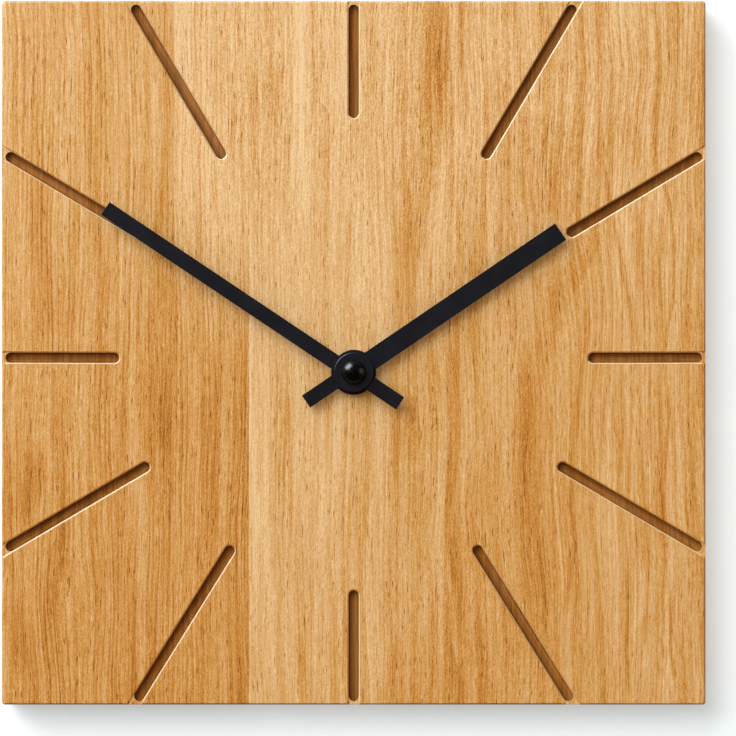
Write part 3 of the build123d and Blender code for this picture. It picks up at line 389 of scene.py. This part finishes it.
    # A hairline of glue between the staves, each darker or paler towards it
    low_half = g.span(up, 60.0, -10.0)
    for edge, before, after, hold in (
        (joints_mm[0], 0.02, -0.03, 1.0),
        (joints_mm[1], 0.10, -0.10, low_half),
    ):
        away = g.add(across, -edge)
        tone = g.add(tone, g.times(g.span(g.math("ABSOLUTE", away), 0.30, 0.08), 0.10))
        beside = g.times(g.times(g.span(away, -7.0, -0.5), g.over(0.0, away)), before)
        beyond = g.times(g.times(g.span(away, 6.0, 0.5), g.over(away, 0.0)), after)
        tone = g.add(tone, g.times(g.add(beside, beyond), hold))

    # The ramp's end lies a little beyond a tone of 1
    wood = g.ramp(
        g.times(tone, 0.8),
        (
            (0.0, linear(247, 211, 165)),
            (0.16, linear(235, 195, 143)),
            (0.32, linear(222, 175, 114)),
            (0.48, linear(212, 151, 73)),
            (0.64, linear(194, 127, 47)),
            (0.80, linear(166, 101, 29)),
            (1.0, linear(126, 70, 16)),
        ),
    )

    # The hour marks' walls and floors are dark, partly the cut wood's own colour and partly painted shade,
    # the walls that turn away from the light darkest; their bevels carry a painted highlight where they face
    # the light and painted shade where they face away
    within = 1.0
    for axis in (across, up):
        within = g.times(g.over(half_mm - mark_margin_mm, g.math("ABSOLUTE", axis)), within)
    bevel = g.times(g.span(depth, 0.03, 0.15), g.span(depth, mark_bevel_mm + 0.12, mark_bevel_mm))
    bevel = g.times(within, bevel)
    inside = g.span(depth, mark_bevel_mm, mark_bevel_mm + 0.25)
    inside = g.times(inside, g.span(depth, mark_floor_mm + 0.30, mark_floor_mm + 0.15))
    inside = g.times(within, inside)
    # How far a surface faces the light from above and the left: it sets the walls' painted shade and the
    # bevels' painted highlight
    faces_light = g.span(g.facing((-0.53, 0.0, 0.85)), -0.15, 0.25)
    shaded_walls = g.mix(faces_light, linear(50, 14, 1), linear(108, 54, 12))
    on_floor = g.span(depth, mark_floor_mm - 0.60, mark_floor_mm - 0.05)
    cut_tone_and_shade = g.mix(on_floor, shaded_walls, linear(192, 115, 38))

    # How far a point lies from the middle line of its mark, below 0 on the side where the painted shade is
    # deepest
    aside = g.times(g.over(mark_reach_mm, g.math("ABSOLUTE", across)), across)
    folded = g.vector(g.math("ABSOLUTE", across), depth, up)
    right_half = g.over(across, 0.0)
    for inner_angle, outer_angle, right_sign, left_sign in mark_lines:
        inner = Vector((sin(radians(inner_angle)), 0, cos(radians(inner_angle)))) * mark_inner_mm
        outer_end = Vector((sin(radians(outer_angle)), 0, cos(radians(outer_angle))))
        outer_end *= half_mm / max(abs(outer_end.x), abs(outer_end.z))
        line = (outer_end - inner).normalized()
        normal = Vector((line.z, 0, -line.x))
        off = g.add(g.dot(folded, normal), -normal.dot(inner))
        signed = g.times(off, g.add(g.times(right_half, right_sign - left_sign), left_sign))
        aside = g.add(aside, g.times(g.over(mark_reach_mm, g.math("ABSOLUTE", off)), signed))
    # Floors are streaked by the grain and along the cut, and darkened along the walls with painted shade,
    # most on the side away from the light
    router = g.noise(g.vector(g.times(aside, 2.2), g.times(across, 0.04), g.times(up, 0.04)), 2.0, 0.55)
    streaks = g.add(g.times(centred(sources[1]), 1.2), g.times(centred(sources[3]), 1.2))
    streaks = g.add(streaks, g.times(centred(router), 1.5))
    cut_tone_and_shade = g.mix(g.span(streaks, -0.34, 0.34, 0.0, 0.52), cut_tone_and_shade, linear(84, 36, 4))
    mark_wall_shade = g.times(g.span(aside, 0.9, -1.6), 0.32)
    mark_wall_shade = g.add(mark_wall_shade, g.times(g.span(g.math("ABSOLUTE", aside), 1.25, 1.75), 0.42))
    cut_tone_and_shade = g.mix(mark_wall_shade, cut_tone_and_shade, linear(58, 18, 1))
    # Bevels: a painted highlight where they face the light, painted shade where they face away
    second_colour = g.mix(faces_light, linear(200, 122, 40), linear(255, 237, 188))
    wood = g.mix(g.times(bevel, 0.60), wood, second_colour)
    wood = g.mix(g.times(inside, 0.90), wood, cut_tone_and_shade)

    # Painted shade: the arris of the foot and the right side, which turns away from the light, is darker
    arris = g.times(g.over(0.5, within), g.span(depth, 1.1, 0.5))
    shaded_arris = g.times(arris, g.span(g.facing((0.7, 0.0, -0.7)), 0.15, 0.50))
    wood = g.mix(g.times(shaded_arris, 0.75), wood, linear(104, 56, 14))

    # Open pores are rougher than the oiled wood between them, and lie lower
    sheen = g.add(g.span(sources[2], 0.3, 0.7, 0.40, 0.50), g.times(pores, 0.15))
    relief = g.add(g.times(pores, -1.0), g.times(sources[1], 0.35))
    g.bump(relief, 0.04, 0.5)
    return g.set(Base_Color=wood, Roughness=sheen, Specular_IOR_Level=0.2)


def satin_black():
    """Sheet hands and hubs with a satin black coating that has a fine orange peel."""
    g = Graph("hand_black")
    place = g.place()
    peel = g.noise(g.stretched(place, 3.0, 3.0, 3.0), 3.0, 0.55)
    haze = g.noise(g.stretched(place, 0.12, 0.12, 0.12), 3.0, 0.6)
    colour = g.mix(haze, linear(21, 21, 27), linear(26, 26, 33))
    g.bump(peel, 0.008, 0.5)
    sheen = g.span(haze, 0.3, 0.7, 0.40, 0.50)
    return g.set(Base_Color=colour, Roughness=sheen, Specular_IOR_Level=0.10)


def gloss_black():
    """The polished dome."""
    g = Graph("cap_black")
    place = g.place()
    swirl = g.noise(g.stretched(place, 1.4, 1.4, 1.4), 4.0, 0.6)
    g.bump(swirl, 0.004, 0.4)
    colour = g.mix(swirl, linear(3, 3, 5), linear(6, 6, 8))
    sheen = g.span(swirl, 0.3, 0.7, 0.25, 0.30)
    return g.set(Base_Color=colour, Roughness=sheen, Specular_IOR_Level=0.12)


def moulded(name, colour, second_colour, roughness, grain_mm=0.35, depth_mm=0.012, specular=0.4):
    """Moulded plastic with the fine texture of a spark-eroded tool and slightly uneven shine."""
    g = Graph(name)
    place = g.place()
    share = 1 / grain_mm
    texture = g.noise(g.stretched(place, share, share, share), 3.0, 0.6)
    flow = g.noise(g.stretched(place, 0.15, 0.15, 0.15), 3.0, 0.55)
    g.bump(texture, depth_mm, 0.7)
    return g.set(
        Base_Color=g.mix(flow, colour, second_colour),
        Roughness=g.span(flow, 0.25, 0.75, roughness - 0.06, roughness + 0.06),
        Specular_IOR_Level=specular,
    )


def turned(name, colour, dull, roughness, centre, pitch_mm=0.18, depth_mm=0.006):
    """Metal turned on a lathe: fine rings round an axis that runs front to back."""
    g = Graph(name)
    across, depth, up = g.place()
    side = g.add(across, -centre[0] * 1000)
    rise = g.add(up, -centre[1] * 1000)
    radius = g.math("SQRT", g.add(g.times(side, side), g.times(rise, rise)))
    wave = g.math("SINE", g.times(g.add(radius, depth), 2 * pi / pitch_mm))
    tarnish = g.noise(g.stretched((across, depth, up), 0.5, 0.5, 0.5), 4.0, 0.6)
    g.bump(wave, depth_mm, 0.5)
    return g.set(
        Base_Color=g.mix(tarnish, colour, dull),
        Roughness=g.span(tarnish, 0.3, 0.7, roughness - 0.05, roughness + 0.08),
        Metallic=1.0,
    )


def brushed(name, colour, dull, roughness, along=(0.08, 4.0, 4.0)):
    """Sheet metal with fine drawn lines."""
    g = Graph(name)
    place = g.place()
    lines = g.noise(g.stretched(place, *along), 4.0, 0.6)
    tarnish = g.noise(g.stretched(place, 0.3, 0.3, 0.3), 3.0, 0.6)
    g.bump(lines, 0.006, 0.5)
    return g.set(
        Base_Color=g.mix(tarnish, colour, dull),
        Roughness=g.span(lines, 0.3, 0.7, roughness - 0.06, roughness + 0.08),
        Metallic=1.0,
    )


def wound_copper():
    """Enamelled wire in close turns along the coil."""
    wire_mm = 0.12
    g = Graph("copper")
    across, depth, up = g.place()
    turn = g.math("ABSOLUTE", g.math("SINE", g.times(across, pi / wire_mm)))
    patch = g.noise(g.vector(across, g.times(depth, 0.6), g.times(up, 0.6)), 3.0, 0.5)
    # The grooves between the turns are darker: painted shade
    colour = g.mix(g.times(turn, 0.7), linear(120, 55, 25), linear(206, 116, 62))
    g.bump(turn, 0.03, 0.7)
    return g.set(
        Base_Color=g.mix(g.times(patch, 0.3), colour, linear(230, 150, 95)),
        Roughness=0.28,
        Metallic=1.0,
    )


def circuit():
    """A brown resin board with tinned tracks."""
    g = Graph("circuit")
    across, depth, up = g.place()
    speck = g.noise(g.vector(g.times(across, 2.0), depth, g.times(up, 2.0)), 4.0, 0.7)
    row = g.math("FLOOR", g.times(up, 0.18))
    track = g.math("FRACT", g.times(g.add(across, g.times(row, 0.9)), 0.42))
    on_track = g.times(g.over(track, 0.62), g.over(speck, 0.36))
    resin = g.mix(speck, linear(128, 84, 44), linear(158, 110, 62))
    g.bump(on_track, 0.03, 0.7)
    return g.set(
        Base_Color=g.mix(on_track, resin, linear(176, 170, 158)),
        Roughness=g.span(on_track, 0.0, 1.0, 0.5, 0.3),
        Metallic=g.times(on_track, 0.9),
    )


def cell_sleeve():
    """A plain printed sleeve: pale grey with a slate band at the positive end, bare metal at both ends."""
    foot_mm = 0.75
    button_mm = 1.95
    band_mm = 15.5
    stripe_mm = 16.6
    g = Graph("cell")
    low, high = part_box("battery")
    across, depth, up = g.place()
    from_left = g.add(across, -low.x * 1000)
    from_right = g.math("SUBTRACT", high.x * 1000, across)
    metal = g.add(g.over(foot_mm, from_left), g.over(button_mm, from_right))
    metal = g.math("MINIMUM", metal, 1.0)
    band = g.over(band_mm, from_right)
    stripe = g.times(g.over(from_right, band_mm), g.over(stripe_mm, from_right))
    crinkle = g.noise(g.stretched((across, depth, up), 0.3, 0.5, 0.5), 4.0, 0.6)
    pale = g.mix(crinkle, linear(176, 180, 184), linear(196, 199, 202))
    slate = g.mix(crinkle, linear(46, 62, 78), linear(58, 75, 92))
    sleeve = g.mix(band, pale, slate)
    sleeve = g.mix(stripe, sleeve, linear(232, 233, 234))
    bare = g.mix(crinkle, linear(176, 174, 168), linear(208, 206, 200))
    g.bump(crinkle, 0.02, 0.3)
    return g.set(
        Base_Color=g.mix(metal, sleeve, bare),
        Metallic=metal,
        Roughness=g.span(crinkle, 0.3, 0.7, 0.26, 0.36),
    )


centre = (0.0, spindle.z)
drawn_in = (4.0, 0.2, 4.0)
drawn_up = (4.0, 4.0, 0.1)
materials = {
    "oak": oak(),
    "hand_black": satin_black(),
    "cap_black": gloss_black(),
    "brass": turned("brass", linear(214, 178, 100), linear(186, 146, 72), 0.27, centre),
    "rubber": moulded("rubber", linear(26, 26, 26), linear(36, 36, 36), 0.8, 0.5, 0.02, 0.25),
    "case_plastic": moulded("case_plastic", linear(56, 56, 57), linear(66, 66, 67), 0.5),
    "knob_plastic": moulded("knob_plastic", linear(84, 84, 86), linear(96, 96, 98), 0.42, 0.5, 0.008),
    "bridge_plastic": moulded("bridge_plastic", linear(196, 196, 190), linear(182, 182, 175), 0.45),
    "gear_plastic": moulded("gear_plastic", linear(236, 234, 226), linear(224, 221, 210), 0.38, 0.6, 0.006),
    "bobbin_plastic": moulded("bobbin_plastic", linear(222, 219, 208), linear(208, 204, 190), 0.42),
    "steel": brushed("steel", linear(190, 190, 190), linear(164, 164, 166), 0.32),
    "magnet": brushed("magnet", linear(92, 92, 96), linear(70, 70, 73), 0.38, drawn_in),
    "copper": wound_copper(),
    "circuit": circuit(),
    "chip_epoxy": moulded("chip_epoxy", linear(20, 20, 20), linear(28, 28, 28), 0.3, 1.2, 0.02),
    "cell": cell_sleeve(),
    "contact_metal": brushed("contact_metal", linear(214, 212, 205), linear(190, 187, 178), 0.24, drawn_up),
}
for entry in frame["record"]["subparts"]:
    node = nodes[entry["node"]]
    node.data.materials.clear()
    node.data.materials.append(materials[entry["material_slot"]])


def ease(piece, width_mm, harden):
    """Breaks the hard edges of a piece, as a coating or a mould does."""
    bevel = piece.modifiers.new("eased", "BEVEL")
    bevel.width = width_mm / 1000
    bevel.segments = 2
    bevel.limit_method = "ANGLE"
    bevel.angle_limit = radians(40)
    bevel.harden_normals = harden


for name in ("hour_hand", "minute_hand"):
    ease(nodes[name], 0.07, True)

# Raised marks moulded on the movement's back: a setting arrow round the knob, plus and minus by the cell
cover_low, cover_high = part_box("rear_cover")
knob_low, knob_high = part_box("setting_knob")
cell_low, cell_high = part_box("battery")
knob_middle = (knob_low + knob_high) / 2
raised_height = 0.0003
raised_sink = 0.0001


def arrow_outline(radius, width, head, start, end, point, steps=28):
    """An arc round the knob with an arrow head at both ends; angles in degrees from right, seen in front."""

    def spot(reach, angle):
        turn = radians(angle)
        return knob_middle.x + reach * cos(turn), knob_middle.z + reach * sin(turn)

    angles = [start + (end - start) * step / steps for step in range(steps + 1)]
    outline = [spot(radius + width / 2, angle) for angle in angles]
    outline += [spot(radius + head / 2, end), spot(radius, end + point), spot(radius - head / 2, end)]
    outline += [spot(radius - width / 2, angle) for angle in reversed(angles)]
    outline += [spot(radius - head / 2, start), spot(radius, start - point), spot(radius + head / 2, start)]
    return outline


def sign_outline(across, up, reach, width, upright):
    """A plus sign, or a minus sign where it has no upright."""
    thin = width / 2
    if not upright:
        shape = [(reach, -thin), (reach, thin), (-reach, thin), (-reach, -thin)]
    else:
        shape = [(reach, -thin), (reach, thin), (thin, thin), (thin, reach), (-thin, reach), (-thin, thin)]
        shape += [(-side, -rise) for side, rise in shape]
    return [(across + side, up + rise) for side, rise in shape]


sign_up = cover_low.z + 0.0032
sign_inset = 0.0065
sign_reach = 0.0014
sign_width = 0.0007
outlines = (
    arrow_outline(radius=0.0088, width=0.0008, head=0.0026, start=35, end=145, point=17),
    sign_outline(cell_high.x - sign_inset, sign_up, sign_reach, sign_width, upright=True),
    sign_outline(cell_low.x + sign_inset, sign_up, sign_reach, sign_width, upright=False),
)
marks = bmesh.new()
for outline in outlines:
    sunk = [marks.verts.new((x, cover_high.y - raised_sink, z)) for x, z in outline]
    proud = [marks.verts.new((x, cover_high.y + raised_height, z)) for x, z in outline]
    marks.faces.new(sunk)
    marks.faces.new(reversed(proud))
    for index, corner in enumerate(sunk):
        following = (index + 1) % len(sunk)
        marks.faces.new((corner, proud[index], proud[following], sunk[following]))
bmesh.ops.recalc_face_normals(marks, faces=marks.faces)
mark_mesh = bpy.data.meshes.new("moulding_marks")
marks.to_mesh(mark_mesh)
marks.free()
moulding_marks = bpy.data.objects.new("moulding_marks", mark_mesh)
bpy.context.scene.collection.objects.link(moulding_marks)
moulding_marks.data.materials.append(materials["case_plastic"])
ease(moulding_marks, 0.1, False)
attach(moulding_marks, "clock_body")

# The wall is stage: it is seen from the front only and takes the clock's shadow
wall_mesh = bpy.data.meshes.new("wall")
half_wall = 3.0
wall_gap = 0.0002
wall_glow = 0.42
corner_signs = ((-1, -1), (1, -1), (1, 1), (-1, 1))
corners = [(side * half_wall, 0, rise * half_wall) for side, rise in corner_signs]
wall_mesh.from_pydata(corners, [], [(0, 1, 2, 3)])
wall = bpy.data.objects.new("wall", wall_mesh)
wall.location = (0, wall_y + wall_gap, board_middle.z)
bpy.context.scene.collection.objects.link(wall)
wall_paint = Graph("wall_paint")
wall_place = wall_paint.place()
stipple = wall_paint.noise(wall_paint.stretched(wall_place, 0.8, 0.8, 0.8), 3.0, 0.6)
wall_paint.bump(stipple, 0.02, 0.2)
wall_paint.set(Base_Color=(0.965, 0.935, 0.915, 1), Roughness=0.9, Specular_IOR_Level=0.0)
rays = wall_paint.tree.nodes.new("ShaderNodeLightPath")
seen = wall_paint.math(
    "MAXIMUM",
    rays.outputs["Is Camera Ray"],
    wall_paint.math("MAXIMUM", rays.outputs["Is Glossy Ray"], rays.outputs["Is Transmission Ray"]),
)
wall_paint.set(Emission_Color=(0.42, 0.76, 1, 1), Emission_Strength=wall_paint.times(seen, wall_glow))
geometry = wall_paint.tree.nodes.new("ShaderNodeNewGeometry")
clear = wall_paint.tree.nodes.new("ShaderNodeBsdfTransparent")
one_sided = wall_paint.tree.nodes.new("ShaderNodeMixShader")
wall_paint.tree.links.new(geometry.outputs["Backfacing"], one_sided.inputs[0])
wall_paint.tree.links.new(wall_paint.shader.outputs[0], one_sided.inputs[1])
wall_paint.tree.links.new(clear.outputs[0], one_sided.inputs[2])
wall_paint.tree.links.new(one_sided.outputs[0], wall_paint.output.inputs["Surface"])
wall.data.materials.append(wall_paint.material)
wall.visible_shadow = False


def area_light(name, place, size, power):
    """A soft square light that faces the clock, slightly cool against the warm fill."""
    data = bpy.data.lights.new(name, "AREA")
    data.shape = "SQUARE"
    data.size = size
    data.energy = power
    data.color = (0.91, 1.0, 1.08)
    lamp = bpy.data.objects.new(name, data)
    lamp.location = place
    lamp.rotation_euler = (board_middle - Vector(place)).to_track_quat("-Z", "Y").to_euler()
    bpy.context.scene.collection.objects.link(lamp)
    return lamp


# The key and the window light the clock, and the softbox and the glow show in its gloss only
key = area_light("key", (-1.06, -2.42, board_middle.z + 1.10), 1.9, 60.0)
key.visible_glossy = False
window = area_light("window", (-1.30, -0.60, board_middle.z + 1.45), 1.3, 9.0)
window.visible_glossy = False
softbox = area_light("softbox", (-1.35, -0.48, board_middle.z + 1.50), 1.6, 360.0)
softbox.visible_diffuse = False
glow = area_light("glow", (1.1, -0.40, board_middle.z + 0.18), 0.7, 5.0)
glow.visible_diffuse = False
area_light("back_left", (-0.9, 1.1, 0.7), 0.9, 14.0)
area_light("back_right", (1.0, 0.9, 0.1), 0.7, 8.0)

# The world is a warm fill, dim in reflections, and a pale backdrop where the camera sees past the wall
glossy_fill = 0.15
backdrop_level = 0.86
world = bpy.data.worlds.new("studio")
world.use_nodes = True
sky_tree = world.node_tree
fill = sky_tree.nodes["Background"]
fill.inputs["Color"].default_value = (0.43, 0.327, 0.199, 1)
backdrop = sky_tree.nodes.new("ShaderNodeBackground")
backdrop.inputs["Color"].default_value = (backdrop_level, backdrop_level, backdrop_level, 1)
sky_rays = sky_tree.nodes.new("ShaderNodeLightPath")
sky_level = sky_tree.nodes.new("ShaderNodeMapRange")
sky_level.inputs["To Min"].default_value = 1.0
sky_level.inputs["To Max"].default_value = glossy_fill
sky_mix = sky_tree.nodes.new("ShaderNodeMixShader")
for source, socket in (
    (sky_rays.outputs["Is Glossy Ray"], sky_level.inputs["Value"]),
    (sky_level.outputs[0], fill.inputs["Strength"]),
    (sky_rays.outputs["Is Camera Ray"], sky_mix.inputs[0]),
    (fill.outputs[0], sky_mix.inputs[1]),
    (backdrop.outputs[0], sky_mix.inputs[2]),
    (sky_mix.outputs[0], sky_tree.nodes["World Output"].inputs["Surface"]),
):
    sky_tree.links.new(source, socket)
bpy.context.scene.world = world

# Camera: straight in front of the board, far enough for the nearly parallel view of the photograph
pixel_size = board_side / board_pixels
distance = 1.6
camera_data = bpy.data.cameras.new("camera")
camera_data.sensor_fit = "HORIZONTAL"
camera_data.sensor_width = 36.0
camera_data.angle = 2 * atan(photo_side * pixel_size / 2 / distance)
camera = bpy.data.objects.new("camera", camera_data)
camera.location = (
    board_middle.x + (photo_side / 2 - board_pixel[0]) * pixel_size,
    face_y - distance,
    board_middle.z - (photo_side / 2 - board_pixel[1]) * pixel_size,
)
camera.rotation_euler = (pi / 2, 0, 0)
bpy.context.scene.collection.objects.link(camera)
bpy.context.scene.camera = camera
bpy.context.scene.view_settings.view_transform = "Standard"
